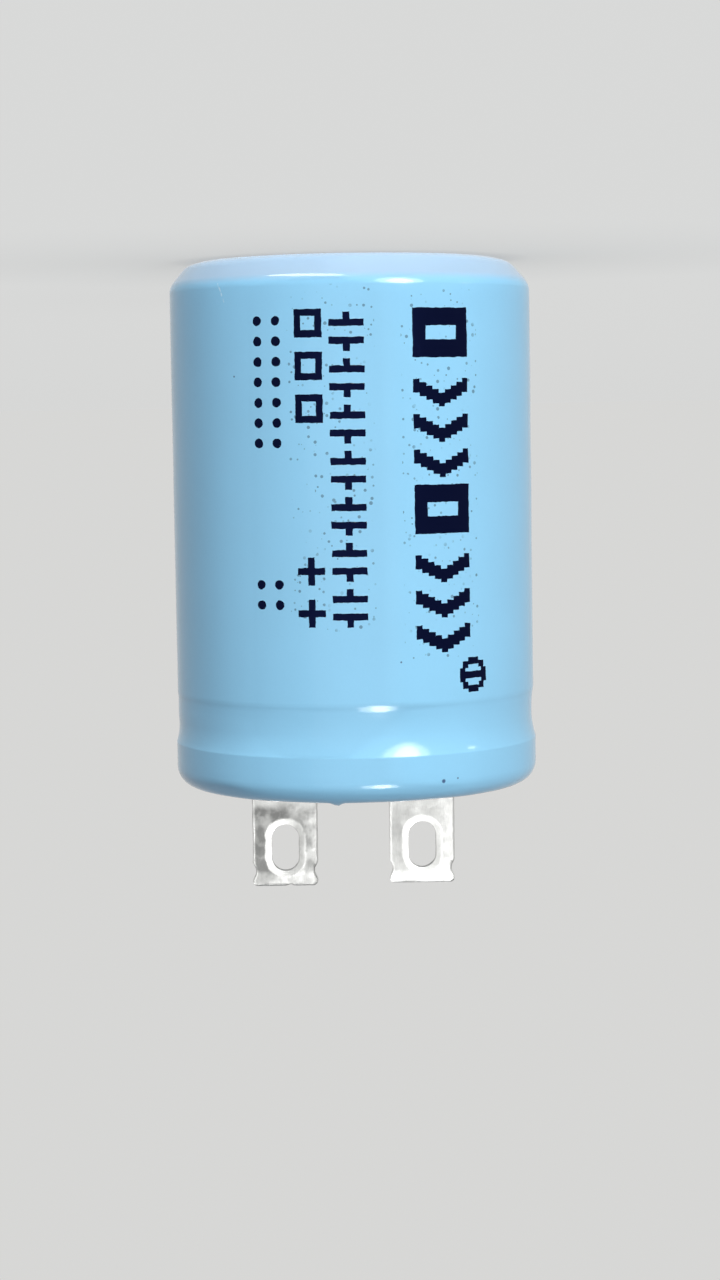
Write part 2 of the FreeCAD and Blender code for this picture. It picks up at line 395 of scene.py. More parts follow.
def polarity_stripe(across, along):
    """Groups of a block with a minus left out of it and arrows that point to the negative lug"""
    side = abs(across - STRIPE_CENTRE)
    body = side < STRIPE_WIDTH / 2
    group = (along - PRINT_START) % GROUP_LENGTH
    rise = abs(group - BLOCK_LENGTH / 2)
    minus = (side < BLOCK_MINUS[0] / 2) * (rise < BLOCK_MINUS[1] / 2)
    block = (rise < BLOCK_LENGTH / 2) * (1 - minus)
    drawn_back = (group - ARROW_START + side * ARROW_SLOPE) % ARROW_PITCH
    row = group.between(ARROW_START, ARROW_START + ARROW_COUNT * ARROW_PITCH)
    arrows = (drawn_back > ARROW_PITCH - ARROW_STROKE) * row
    run = along.between(PRINT_START, PRINT_START + STRIPE_GROUPS * GROUP_LENGTH)
    return (block | arrows) * body * run


def capacitor_chain(across, along):
    """Row of capacitor symbols, each two plates with a lead on either side"""
    side = abs(across - CHAIN_CENTRE)
    from_middle = abs((along - PRINT_START) % CHAIN_PITCH - CHAIN_PITCH / 2)
    plate_start = PLATE_GAP / 2
    plates = from_middle.between(plate_start, plate_start + PLATE_STROKE) * (side < CHAIN_WIDTH / 2)
    leads = from_middle.between(plate_start, LEAD_END) * (side < LEAD_STROKE / 2)
    run = along.between(PRINT_START, PRINT_START + CHAIN_LINKS * CHAIN_PITCH)
    return (plates | leads) * run


def signs(across, along):
    """Hollow squares, and plus signs in line with the positive lug"""
    side = abs(across - SIGN_CENTRE)
    reach = SIGN_WIDTH / 2
    ink = 0.0
    for level in SQUARE_LEVELS:
        ink = (side | abs(along - level)).between(reach - SIGN_STROKE, reach) | ink
    for level in PLUS_LEVELS:
        rise = abs(along - level)
        upright = (side < SIGN_STROKE / 2) * (rise < reach)
        bar = (rise < SIGN_STROKE / 2) * (side < reach)
        ink = upright | bar | ink
    return ink


def dot_rows(across, along):
    """Two rows of dots in two groups"""
    aside = abs(abs(across - DOT_CENTRE) - DOT_SPREAD)
    rise = (along - DOT_SPANS[0][0]) % DOT_PITCH - DOT_PITCH / 2
    dots = (aside * aside + rise * rise) < DOT_RADIUS ** 2
    groups = 0.0
    for start, end in DOT_SPANS:
        groups = along.between(start, end) | groups
    return dots * groups


def ringed_minus(across, along):
    """Minus sign in a ring, next to the bead"""
    aside = across - RING_PLACE[0]
    rise = along - RING_PLACE[1]
    ring = (aside * aside + rise * rise).root().near(RING_RADIUS, RING_STROKE / 2)
    return ring | (abs(rise) < RING_STROKE / 2) * (abs(aside) < RING_BAR)


def scratch(across, along):
    """Hairline between two points"""
    run = Vector(SCRATCH_END) - Vector(SCRATCH_START)
    way = run.normalized()
    aside = across - SCRATCH_START[0]
    rise = along - SCRATCH_START[1]
    off_line = abs(aside * way.y - rise * way.x)
    on_line = (aside * way.x + rise * way.y).between(0.0, run.length)
    return (1 - off_line.fade(0.0, SCRATCH_WIDTH)) * on_line


def sleeve_film(look):
    """Glossy shrunk film with marks printed in coarse dots, stray ink and handling marks"""
    finish = Finish("sleeve_film", IOR=FILM_IOR)
    x, y, z = finish.axes()
    across = (-x).turn(-y) * (WALL_RADIUS / MM)
    wander = (finish.noise(0.5 * MM) - 0.5) * INK_WANDER
    ink_across = across + wander
    ink_along = z + wander
    cell_across = ink_across - ink_across % INK_CELL + INK_CELL / 2
    cell_along = ink_along - ink_along % INK_CELL + INK_CELL / 2
    marks = dot_rows(ink_across, ink_along)
    for drawing in (polarity_stripe, capacitor_chain, signs, ringed_minus):
        marks = drawing(cell_across, cell_along) | marks

    printed_area = 0.0
    for place, reach, low, high in SPRAY_AREAS:
        printed_area = across.near(place, reach) * z.between(low, high) | printed_area
    patchy = finish.noise(SPRAY_PATCH).fade(0.36, 0.56)
    spray = finish.specks(SPRAY_SPACING, *SPRAY_RADII) * printed_area * patchy
    pits = 0.0
    for place, level, radius in PITS:
        aside = (across - place) / radius
        rise = (z - level) / radius
        pits = (1 - (aside * aside + rise * rise).root().fade(*PIT_EDGE)) | pits
    hairline = scratch(across + wander * 2, z) * finish.noise(0.35 * MM).fade(0.4, 0.6)

    cloud = finish.noise(7 * MM, 3.0)
    grain = finish.noise(0.16 * MM, 1.0)
    scuffs = finish.noise(1.3 * MM, 4.0).fade(0.58, 0.75)
    film = finish.mix(cloud, tone(look.colour, 0.95), tone(look.colour, 1.04))
    # Paler shoulder: stretched film with a painted reflection on it
    film = finish.mix(1 - (z + wander).fade(*PALE_SPAN), film, look.pale)
    film = finish.mix(grain * 0.14, film, tone(look.colour, 0.8))
    film = finish.mix(spray * 0.8, film, tone(look.colour, 0.3))
    film = finish.mix(hairline * 0.6, film, SCRATCH_COLOUR)
    film = finish.mix(pits * 0.85, film, tone(look.ink, 3.0))
    colour = finish.mix(marks, film, look.ink)
    roughness = 0.09 + 0.04 * cloud + 0.06 * scuffs + 0.06 * marks + 0.25 * (hairline | pits)
    peel = finish.noise(1.6 * MM, 2.0) * 0.7 + finish.noise(0.3 * MM, 1.0) * 0.12 + marks * 0.35 - pits * 2
    finish.feed(finish.shader.inputs["Metallic"], marks * INK_MATT)
    return finish.surface(colour, roughness, finish.bump(peel, 0.006 * MM))


# Soft borders of the tinning's bright places, part shinier worn tin and part painted highlight, in
# millimetres:
# out from the eye's edge, up from the tip, out from the blade's edge and up from the sleeve
EYE_BRIGHT = (0.42, 0.56)
TIP_BRIGHT = (-1.2, -0.8)
EDGE_BRIGHT = (-0.255, -0.055)
EDGE_RISE = (1.35, 1.75)
# Soft borders of the tinning's darker places, wear with painted shade on one lug and on its outer half, and
# lighter roots as a painted highlight: between the lugs, from the brighter to the shaded one, out from the
# shaded one's middle, up from the sleeve on both, and up from the sleeve on the shaded one
SHADED_SIDE = (-1.0, 1.0)
OUTER_HALF = (-0.6, 0.8)
ROOT_RISE = (1.75, 3.55)
SHADED_ROOT_RISE = (1.35, 2.25)
# Soft border of the painted shade on the eye's cut wall, out from the eye's edge
BORE_BORDER = (0.0, 0.05)


def moved(border, base):
    """Start and end of a border that is measured from a base"""
    return [base + distance for distance in border]


def tinned_metal(look):
    """Hot-tinned sheet: even wear with painted shade on one lug, most on its outer half, and in the eyes,
    painted highlights at the roots, and bright tips, edges and eye bevels, part wear and part painted
    highlight
    """
    finish = Finish("tinned_metal", Metallic=1.0)
    x, z = finish.axes("XZ")
    sleeve_top = SLEEVE_HIGH.z / MM
    eye = EYES["positive"] / MM
    aside = abs(abs(x - BLADE_SET / MM) - eye.x)
    # 1 on the lug that gets painted shade, 0 on the other
    shaded_side = x.fade(*SHADED_SIDE)
    # Outer half of the shaded lug, which gets more painted shade and a brighter bevel
    far_side = x.fade(*moved(OUTER_HALF, eye.x))
    drop_change = BLADE_DROP["positive"] - BLADE_DROP["negative"]
    drop = BLADE_DROP["negative"] / MM + drop_change / MM * shaded_side
    beyond = (abs(z - eye.z + drop) - (look.eye_length - look.eye_width) / 2 / MM) | 0.0
    from_eye = (aside * aside + beyond * beyond).root() - look.eye_width / 2 / MM
    wander = (finish.noise(0.6 * MM, 3.0) - 0.5) * 0.5

    ring = 1 - (from_eye + wander * 0.7).fade(*EYE_BRIGHT)
    tip = (z + wander).fade(*moved(TIP_BRIGHT, LUG_HIGH.z / MM))
    edge = (aside + wander * 0.4).fade(*moved(EDGE_BRIGHT, look.blade_width / 2 / MM))
    edge = edge * z.fade(*moved(EDGE_RISE, sleeve_top))
    rubbed = finish.noise(0.45 * MM, 3.0).fade(0.25, 0.6)
    # Bright eye bevels, tips and edges, partly shinier worn tin and partly painted highlight; on the shaded
    # lug the tip is dimmer and only the bevel's outer half is fully bright
    wear_and_glint = ring * (1 - 0.5 * shaded_side * (1 - far_side)) | tip * (0.85 - 0.5 * shaded_side) | edge * 0.6
    bright = wear_and_glint * (0.65 + 0.35 * rubbed)
    # Painted shade on the eye's cut wall
    bore = 1 - from_eye.fade(*BORE_BORDER)

    dull = finish.noise(0.7 * MM, 5.0).fade(0.3, 0.72)
    # Lighter band above each root as a painted highlight, narrower on the shaded lug
    shade_above_root = (z + wander * 1.5).fade(*moved(SHADED_ROOT_RISE, sleeve_top)) * shaded_side * 0.85
    above_root = z.fade(*moved(ROOT_RISE, sleeve_top)) | shade_above_root
    # Darkening: even wear, with painted shade on one lug and its outer half
    wear_and_shade = (0.42 + 0.43 * shaded_side + 0.4 * far_side) * (0.2 + 0.8 * above_root)
    grain = finish.noise(0.22 * MM, 4.0, finish.stretched(3.0, 1.0, 0.6))
    colour = finish.mix((dull * 0.4 + 0.57) * wear_and_shade, look.colour, tone(look.colour, 0.28))
    colour = finish.mix(grain * 0.35, colour, tone(look.colour, 0.6))
    colour = finish.mix(bright, colour, tone(look.colour, 1.06))
    colour = finish.mix(bore * 0.8, colour, tone(look.colour, 0.45))
    roughness = 0.36 + 0.16 * dull + 0.12 * grain - 0.1 * bright
    lumps = finish.noise(0.7 * MM, 3.0) * 0.7 + grain * 0.3
    return finish.surface(colour, roughness, finish.bump(lumps, 0.03 * MM))


# Colours of the other finishes, from the darkest to the lightest patches
DRAWN = ((0.70, 0.71, 0.72), (0.86, 0.87, 0.87))
PEENED = ((0.62, 0.62, 0.62), (0.86, 0.86, 0.85))
LAMINATE = ((0.20, 0.09, 0.035), (0.40, 0.22, 0.10))
RUBBER = ((0.018, 0.018, 0.019), (0.085, 0.083, 0.08))
FOIL = ((0.68, 0.69, 0.70), (0.84, 0.85, 0.85))
CARBON_AND_PAPER = ((0.022, 0.022, 0.024), (0.62, 0.58, 0.50))
CARBON_DUST = (0.05, 0.05, 0.05)
TAPE = ((0.58, 0.32, 0.06), (0.78, 0.50, 0.14))
FIBRE = ((0.60, 0.52, 0.40), (0.80, 0.74, 0.62))
# Rings to the millimetre on the can, thickness of the roll's turns, and where paper starts in a turn
TOOL_RINGS = 14.0
TURN = 0.24
PAPER_EDGE = (0.14, 0.2)


def drawn_aluminium():
    """Bright can metal with fine rings from the rolling tools"""
    finish = Finish("drawn_aluminium", Metallic=1.0)
    x, y, z = finish.axes()
    radius = (x * x + y * y).root()
    rings = finish.node(
        "ShaderNodeTexNoise", {"noise_dimensions": "1D"}, {"W": radius + z, "Scale": TOOL_RINGS})
    patches = finish.noise(1.4 * MM, 3.0)
    colour = finish.mix(patches, *DRAWN)
    return finish.surface(colour, 0.24 + 0.14 * patches + 0.1 * rings, finish.bump(rings, 0.004 * MM))


def peened_aluminium():
    """Rivet metal, hammered matt with bright rubbed spots"""
    finish = Finish("rivet_aluminium", Metallic=1.0)
    blows = finish.noise(0.5 * MM, 2.0)
    grit = finish.noise(0.09 * MM, 2.0)
    colour = finish.mix(blows, *PEENED)
    relief = finish.bump(blows * 0.8 + grit * 0.2, 0.02 * MM)
    return finish.surface(colour, 0.46 - 0.2 * blows + 0.1 * grit, relief)


def pressed_laminate():
    """Paper laminate with its fibres and a resin skin"""
    finish = Finish("phenolic")
    fibre = finish.noise(0.2 * MM, 4.0, finish.stretched(1.0, 0.25, 4.0))
    cloud = finish.noise(2.0 * MM, 2.0)
    colour = finish.mix(fibre, *LAMINATE)
    return finish.surface(colour, 0.38 + 0.2 * cloud, finish.bump(fibre, 0.01 * MM))


def seal_rubber():
    """Moulded black rubber with a bloom of dust"""
    finish = Finish("seal_rubber")
    bloom = finish.noise(1.6 * MM, 5.0).fade(0.4, 0.75)
    grit = finish.noise(0.1 * MM, 2.0)
    colour = finish.mix(bloom * 0.6, *RUBBER)
    return finish.surface(colour, 0.62 + 0.2 * bloom, finish.bump(grit, 0.015 * MM))


def rolled_foil():
    """Aluminium strip with the rolling mill's lines along it"""
    finish = Finish("tab_foil", Metallic=1.0)
    lines = finish.noise(0.15 * MM, 3.0, finish.stretched(4.0, 0.2, 0.2))
    colour = finish.mix(lines, *FOIL)
    return finish.surface(colour, 0.26 + 0.16 * lines, finish.bump(lines, 0.004 * MM))


def electrode_roll():
    """Wound turns of carbon and paper, seen as rings on the roll's ends"""
    finish = Finish("electrode_roll")
    x, y = finish.axes("XY")
    radius = (x * x + y * y).root()
    paper = (radius % TURN).fade(*PAPER_EDGE)
    fuzz = finish.noise(0.3 * MM, 4.0)
    colour = finish.mix(paper * 0.8, *CARBON_AND_PAPER)
    colour = finish.mix(fuzz * 0.4, colour, CARBON_DUST)
    return finish.surface(colour, 0.78 + 0.12 * fuzz, finish.bump(paper * 0.7 + fuzz * 0.3, 0.03 * MM))


def winding_tape():
    """Amber film tape with faint wrinkles"""
    finish = Finish("winding_tape", Coat_Weight=0.3)
    wrinkles = finish.noise(0.9 * MM, 3.0, finish.stretched(1.0, 1.0, 0.3))
    colour = finish.mix(wrinkles, *TAPE)
    return finish.surface(colour, 0.28 + 0.15 * wrinkles, finish.bump(wrinkles, 0.02 * MM))


def pressed_fibre():
    """Insulating board with matted fibres"""
    finish = Finish("pad_fibre")
    mat = finish.noise(0.25 * MM, 5.0, finish.stretched(1.0, 0.4, 1.0))
    colour = finish.mix(mat, *FIBRE)
    return finish.surface(colour, 0.8 + 0.1 * mat, finish.bump(mat, 0.03 * MM))


# Meshes

# Points nearer than this, in metres, are one point; the finer one is for the lugs' sheet
MERGE = 1e-7
FINE_MERGE = 1e-8


def clamped(value):
    """A value kept between 0 and 1"""
    return min(1.0, max(0.0, value))


def rounded_wire(bm, corners, closed=False, segments=6):
    """Edges through corners (point, rounding), with each corner cut back to an arc"""
    verts = [bm.verts.new(point) for point, rounding in corners]
    count = len(verts)
    for i in range(count if closed else count - 1):
        bm.edges.new((verts[i], verts[(i + 1) % count]))
    for i, (point, rounding) in enumerate(corners):
        if not rounding:
            continue
        into = Vector(point) - Vector(corners[i - 1][0])
        out = Vector(corners[(i + 1) % count][0]) - Vector(point)
        cut = rounding * math.tan(into.angle(out) / 2)
        bmesh.ops.bevel(
            bm, geom=[verts[i]], offset=cut, offset_type="OFFSET", segments=segments, profile=0.5,
            affect="VERTICES", clamp_overlap=True, material=-1)


def finished_piece(name, bm, material, slot, *nodes):
    """Makes a mesh an object that rides on the cell and stands for CAD nodes"""
    mesh = bpy.data.meshes.new(name)
    bm.to_mesh(mesh)
    bm.free()
    mesh.materials.append(material)
    piece = bpy.data.objects.new(name, mesh)
    bpy.context.scene.collection.objects.link(piece)
    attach(piece, "root")
    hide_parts(*nodes)


def shade(bm, sharp_angle):
    """Smooth shading apart from edges that turn by more than an angle"""
    for face in bm.faces:
        face.smooth = True
    for edge in bm.edges:
        edge.smooth = len(edge.link_faces) == 2 and edge.calc_face_angle(0.0) < sharp_angle


def bell(value, centre, reach):
    """1 at a centre, falling off smoothly to nothing"""
    return math.exp(-((value - centre) / reach) ** 2)


# Film: roundings and levels of its section, and what the shrinking left uneven. Angles run round the wall
# to the picture's right
PROFILE_SEGMENTS = 8
LONG_EDGE = 1.5 * MM
EDGE_STEP = 0.8 * MM
FILM_SHARP = math.radians(50.0)
HEEL_WIDTH = 1.2 * MM
HEEL_ROUNDING = 2.0 * MM
FOOT_ROUNDING = 1.2 * MM
SHOULDER_ROUNDING = 1.3 * MM
SLUMP_ANGLE = math.radians(85.0)
SLUMP_REACH = math.radians(45.0)
SLUMP_DEPTH = 0.18 * MM
SLUMP_TOP = 2.3 * MM
DIP_ROUNDING = 1.7 * MM
EASE_ROUNDING = 2.4 * MM
WAIST_LEVEL = 32.1 * MM
WAIST_DEPTH = 0.16 * MM
WAIST_ROUNDING = 8.0 * MM
SAG_LEVEL = 33.6 * MM
SAG_DEPTH = 0.26 * MM
SAG_ROUNDING = 5.2 * MM
FULL_ANGLE = math.radians(-90.0)
FULL_REACH = math.radians(45.0)
FULL_LEVEL = 32.3 * MM
FULL_SPAN = 1.0 * MM
FULL_DEPTH = 0.12 * MM
RIM_ROUNDING = 0.3 * MM
CROWN_ROUNDING = 1.48 * MM
RIPPLE_SIZE = 5.0 * MM
LIP_FOLD = 0.9 * MM
LIP_BAND = 0.2 * MM
LIP_WAVE = 0.2 * MM
LIP_WAVES = 4.0
LIP_PATCH = 2.0
PIP_ANGLE = math.radians(-6.7)
PIP_REACH = math.radians(1.6)
PIP_HEIGHT = 0.22 * MM
CREASE_ANGLE = math.radians(-46.0)
CREASE_REACH = math.radians(9.0)
CREASE_LEVEL = 37.1 * MM
CREASE_SPAN = 0.35 * MM
CREASE_DEPTH = 0.14 * MM


def sleeve_profile(bm, look):
    """Half section of the film's outside, from the lip under the closed end to the lip over the crimp"""
    top = SLEEVE_HIGH.z
    rim = SLEEVE_HIGH.x
    foot = WALL_RADIUS - look.shoulder_inset
    points = [
        (foot - look.closed_lip, 0.0, 0.0),
        (foot - HEEL_WIDTH, 0.0, HEEL_ROUNDING),
        (foot, look.foot_rise, FOOT_ROUNDING),
        (WALL_RADIUS, look.shoulder_height, SHOULDER_ROUNDING),
        (WALL_RADIUS, look.dip_start, DIP_ROUNDING),
        (WALL_RADIUS - look.dip_depth, look.dip_level, EASE_ROUNDING),
        (WALL_RADIUS - WAIST_DEPTH, WAIST_LEVEL, WAIST_ROUNDING),
        (rim - SAG_DEPTH, SAG_LEVEL, SAG_ROUNDING),
        (rim, look.rim_start, RIM_ROUNDING),
        (rim, top, CROWN_ROUNDING),
        (rim - look.open_lip, top, 0.0),
    ]
    corners = [((radius, 0.0, level), rounding) for radius, level, rounding in points]
    rounded_wire(bm, corners, segments=PROFILE_SEGMENTS)
    long_edges = [edge for edge in bm.edges if edge.calc_length() > LONG_EDGE]
    for edge in long_edges:
        bmesh.ops.subdivide_edges(bm, edges=[edge], cuts=int(edge.calc_length() / EDGE_STEP))


def settle_film(bm, look):
    """Ripples, a slumped shoulder, a fuller waist on one side, and a wavy, creased lip with a pip"""
    lip_edge = SLEEVE_HIGH.x - look.open_lip
    for vert in bm.verts:
        radius = math.hypot(vert.co.x, vert.co.y)
        angle = math.atan2(-vert.co.x, -vert.co.y)
        level = vert.co.z
        outward = Vector((vert.co.x, vert.co.y, 0.0)) / radius
        lip = clamped(1 - (radius - lip_edge) / LIP_FOLD) * (level > SLEEVE_HIGH.z - LIP_BAND)
        ripple = (0.5 + 0.5 * noise.noise(vert.co / RIPPLE_SIZE)) * look.ripple
        turn = Vector((math.sin(angle), math.cos(angle), LIP_PATCH))
        wave = noise.noise(turn * LIP_WAVES) * LIP_WAVE * lip
        creased = bell(angle, CREASE_ANGLE, CREASE_REACH) * bell(level, CREASE_LEVEL, CREASE_SPAN)
        pip = PIP_HEIGHT * bell(angle, PIP_ANGLE, PIP_REACH) * lip
        slump = SLUMP_DEPTH * bell(angle, SLUMP_ANGLE, SLUMP_REACH) * clamped(1 - (level / SLUMP_TOP) ** 2)
        full = FULL_DEPTH * bell(angle, FULL_ANGLE, FULL_REACH) * bell(level, FULL_LEVEL, FULL_SPAN)
        inward = ripple + wave + CREASE_DEPTH * creased + slump - full
        vert.co += Vector((0.0, 0.0, pip)) - outward * inward


def make_sleeve(look):
    """The shrunk sleeve as a turned film with thickness"""
    bm = bmesh.new()
    sleeve_profile(bm, look)
    bmesh.ops.spin(
        bm, geom=bm.verts[:] + bm.edges[:], cent=(0, 0, 0), axis=(0, 0, 1), angle=math.tau, steps=look.around,
        use_merge=True)
    bmesh.ops.remove_doubles(bm, verts=bm.verts[:], dist=MERGE)
    bmesh.ops.recalc_face_normals(bm, faces=bm.faces[:])
    settle_film(bm, look)
    bmesh.ops.solidify(bm, geom=bm.faces[:], thickness=look.wall)
    shade(bm, FILM_SHARP)
    finished_piece("shrunk_sleeve", bm, sleeve_film(look), "sleeve_film", "sleeve")


# Lugs: outline of the blank, its mesh, and the wear and bending of these two
FOOT_ROUND = 2.8 * MM
FOOT_REACH = 2.9 * MM
NOTCH_DEPTH = 0.32 * MM
NOTCH_HEIGHT = 1.25 * MM
NOTCH_SETBACK = 1.08 * MM
NOTCH_ROUNDING = 0.6 * MM
STEP_ROUNDING = 0.2 * MM
TIP_ROUNDING = 0.35 * MM
EDGE_ROUNDING = 0.07 * MM
EYE_SEGMENTS = 48
GRID = 0.2 * MM
LUG_SHARP = math.radians(60.0)
BURR = 0.035 * MM
BURR_SIZE = 0.4 * MM
BURR_SEED = 3
SWELL_SIZE = 1.5 * MM
SWELL_START = 2.0 * MM
# Where in the noise each lug's unevenness is read
NOISE_PATCH = {"positive": Vector((7.0, 3.0, 0.0)), "negative": Vector((-7.0, 3.0, 0.0))}
NICKED = "positive"
NICK_PLACE = -0.35 * MM
NICK_WIDTH = 0.16 * MM
NICK_DEPTH = 0.14 * MM
LEAN = math.radians(0.2)
BLADE_SET = 0.3 * MM
BLADE_DROP = {"positive": 0.05 * MM, "negative": 0.16 * MM}


def lug_outline(look, length, wide_length):
    """Corners of the flat blank: a foot rounded about its rivet, a step, a notch each side and the tip"""
    blade = look.blade_width / 2
    notch = length - NOTCH_SETBACK
    right = [
        (FOOT_ROUND, 0.0, FOOT_ROUND),
        (FOOT_ROUND, wide_length, STEP_ROUNDING),
        (blade, wide_length, STEP_ROUNDING),
        (blade, notch - NOTCH_HEIGHT / 2, NOTCH_ROUNDING),
        (blade - NOTCH_DEPTH, notch, NOTCH_ROUNDING),
        (blade, notch + NOTCH_HEIGHT / 2, NOTCH_ROUNDING),
        (blade, length, TIP_ROUNDING),
    ]
    left = [(-across, along, rounding) for across, along, rounding in reversed(right)]
    return [((across, 0.0, along), rounding) for across, along, rounding in right + left]


def oblong(bm, width, length, centre, depth):
    """Edges of an oblong hole, drawn out of a circle"""
    made = bmesh.ops.create_circle(bm, segments=EYE_SEGMENTS, radius=width / 2)
    half_run = (length - width) / 2
    for vert in made["verts"]:
        across, rise, _ = vert.co
        drawn = math.copysign(half_run, rise) if abs(rise) > FINE_MERGE else 0.0
        vert.co = (across, depth, centre + rise + drawn)
    return list(dict.fromkeys(edge for vert in made["verts"] for edge in vert.link_edges))


def fill(bm, edges):
    """Flat faces between an outline and its holes"""
    made = bmesh.ops.triangle_fill(bm, use_beauty=True, edges=edges, normal=(0, -1, 0))
    return [item for item in made["geom"] if isinstance(item, bmesh.types.BMFace)]


def walled(bm, edges, depth):
    """Walls from edges to a copy of them at another depth, and the copy's edges"""
    made = bmesh.ops.extrude_edge_only(bm, edges=edges)
    verts = [item for item in made["geom"] if isinstance(item, bmesh.types.BMVert)]
    copied = [item for item in made["geom"] if isinstance(item, bmesh.types.BMEdge)]
    for vert in verts:
        vert.co.y = depth
    return [edge for edge in copied if all(vert in verts for vert in edge.verts)]


def lug_blank(bm, look, length, wide_length, eye_along):
    """Flat blank with thickness: outline, rivet hole and an eye with a coined bevel on the front"""
    front = -look.thickness / 2
    back = look.thickness / 2
    rounded_wire(bm, lug_outline(look, length, wide_length), closed=True)
    bmesh.ops.remove_doubles(bm, verts=bm.verts[:], dist=MERGE)
    outline = bm.edges[:]
    for vert in bm.verts:
        vert.co.y = front
    rivet = oblong(bm, 2 * look.rivet_hole, 2 * look.rivet_hole, FOOT_ROUND, front)
    coin = oblong(
        bm, look.eye_width + 2 * look.coin_width, look.eye_length + 2 * look.coin_width, eye_along, front)
    eye = oblong(bm, look.eye_width, look.eye_length, eye_along, front + look.coin_depth)
    bmesh.ops.bridge_loops(bm, edges=coin + eye)
    back_outline = walled(bm, outline, back)
    back_rivet = walled(bm, rivet, back)
    back_eye = walled(bm, eye, back)
    for edges, side in ((outline + rivet + coin, -1), (back_outline + back_rivet + back_eye, 1)):
        border = {vert for edge in edges for vert in edge.verts if edge not in coin}
        faces = fill(bm, edges)
        bmesh.ops.inset_region(
            bm, faces=faces, thickness=EDGE_ROUNDING, use_boundary=True, use_even_offset=True)
        for vert in border:
            vert.co.y -= side * EDGE_ROUNDING
    bmesh.ops.remove_doubles(bm, verts=bm.verts[:], dist=FINE_MERGE)
    bmesh.ops.recalc_face_normals(bm, faces=bm.faces[:])
    for axis, low, high in ((Vector((1, 0, 0)), -FOOT_ROUND, FOOT_ROUND), (Vector((0, 0, 1)), 0.0, length)):
        for i in range(1, int((high - low) / GRID)):
            bmesh.ops.bisect_plane(
                bm, geom=bm.verts[:] + bm.edges[:] + bm.faces[:], plane_co=axis * (low + i * GRID),
                plane_no=axis, dist=FINE_MERGE)


def folded(co, look, place, foot_run, fold_run):
    """Place of a blank's point once the blade is bent up from its foot"""
    low = LUG_LOW.z
    far = FOOT_REACH + FOOT_ROUND
    outer = look.bend + look.thickness / 2
    hinge = Vector((0.0, outer - look.thickness / 2, low + outer))
    across, depth, along = co
    if along < foot_run:
        return Vector((place + across, far - along, low + look.thickness / 2 + depth))
    if along < foot_run + fold_run:
        turn = (along - foot_run) / look.bend
        reach = look.bend - depth
        return Vector((place + across, hinge.y - reach * math.sin(turn), hinge.z - reach * math.cos(turn)))
    return Vector((place + across, depth, hinge.z + along - foot_run - fold_run))


def make_lug(look, pole, material):
    """One solder lug: blank, crumple and fold"""
    place = EYES[pole].x
    outer = look.bend + look.thickness / 2
    foot_run = FOOT_REACH + FOOT_ROUND + look.thickness / 2 - outer
    fold_run = look.bend * math.pi / 2
    blade_run = LUG_HIGH.z - LUG_LOW.z - outer
    length = foot_run + fold_run + blade_run
    eye_along = length - (LUG_HIGH.z - EYES[pole].z)
    wide_length = foot_run + fold_run + look.thickness + look.step - outer
    bm = bmesh.new()
    lug_blank(bm, look, length, wide_length, eye_along)
    patch = NOISE_PATCH[pole]
    noise.seed_set(BURR_SEED)
    for vert in bm.verts:
        across, depth, along = vert.co
        above_fold = max(0.0, along - foot_run - fold_run)
        free = clamped(above_fold / SWELL_START)
        swell = noise.noise(Vector((across, 0.0, along)) / SWELL_SIZE + patch) * look.crumple
        burr = noise.noise_vector(vert.co / BURR_SIZE + patch) * BURR
        at_tip = clamped((along - length + GRID) / GRID)
        nick = NICK_DEPTH * bell(across, NICK_PLACE, NICK_WIDTH) * at_tip * (pole == NICKED)
        lean = math.tan(LEAN) * above_fold
        bent = clamped((along - foot_run + fold_run) / (2 * fold_run))
        bent = bent * bent * (3 - 2 * bent)
        inward = BLADE_DROP[pole] * bent + abs(burr.z) * at_tip + nick
        vert.co += Vector((burr.x * free + lean + BLADE_SET * bent, swell * free, -inward))
        vert.co = folded(vert.co, look, place, foot_run, fold_run)
    bmesh.ops.recalc_face_normals(bm, faces=bm.faces[:])
    shade(bm, LUG_SHARP)
    finished_piece(f"{pole}_solder_lug", bm, material, "tinned_metal", f"{pole}_lug")


def dress(material, *nodes):
    """Gives CAD nodes a finish"""
    for node in nodes:
        materials = frame["nodes"][node].data.materials
        materials.clear()
        materials.append(material)


# Operators for the pieces


class SUPERCAP_OT_sleeve(bpy.types.Operator):
    """Make the shrunk sleeve with its print"""

    bl_idname = "supercap.sleeve"
    bl_label = "Shrunk Sleeve"

    def execute(self, context):
        make_sleeve(context.scene.supercap_sleeve)
        return {"FINISHED"}


class SUPERCAP_OT_lugs(bpy.types.Operator):
    """Make the two tinned solder lugs"""

    bl_idname = "supercap.lugs"
    bl_label = "Solder Lugs"

    def execute(self, context):
        look = context.scene.supercap_lugs
        material = tinned_metal(look)
        for pole in EYES:
            make_lug(look, pole, material)
        return {"FINISHED"}


class SUPERCAP_OT_can(bpy.types.Operator):
    """Finish the can and the rivets"""

    bl_idname = "supercap.can"
    bl_label = "Can and Rivets"

    def execute(self, context):
        dress(drawn_aluminium(), "can")
        dress(peened_aluminium(), "positive_rivet", "negative_rivet", "positive_washer", "negative_washer")
        return {"FINISHED"}


class SUPERCAP_OT_header(bpy.types.Operator):
    """Finish the header's board and rubber facing"""

    bl_idname = "supercap.header"
    bl_label = "Header"

    def execute(self, context):
        dress(pressed_laminate(), "header_board")
        dress(seal_rubber(), "header_seal")
        return {"FINISHED"}


class SUPERCAP_OT_element(bpy.types.Operator):
    """Finish what is sealed in the can"""

    bl_idname = "supercap.element"
    bl_label = "Wound Element"

    def execute(self, context):
        dress(electrode_roll(), "wound_element")
        dress(winding_tape(), "element_tape")
        dress(rolled_foil(), "positive_tab", "negative_tab")
        dress(pressed_fibre(), "base_pad")
        return {"FINISHED"}


# Stage

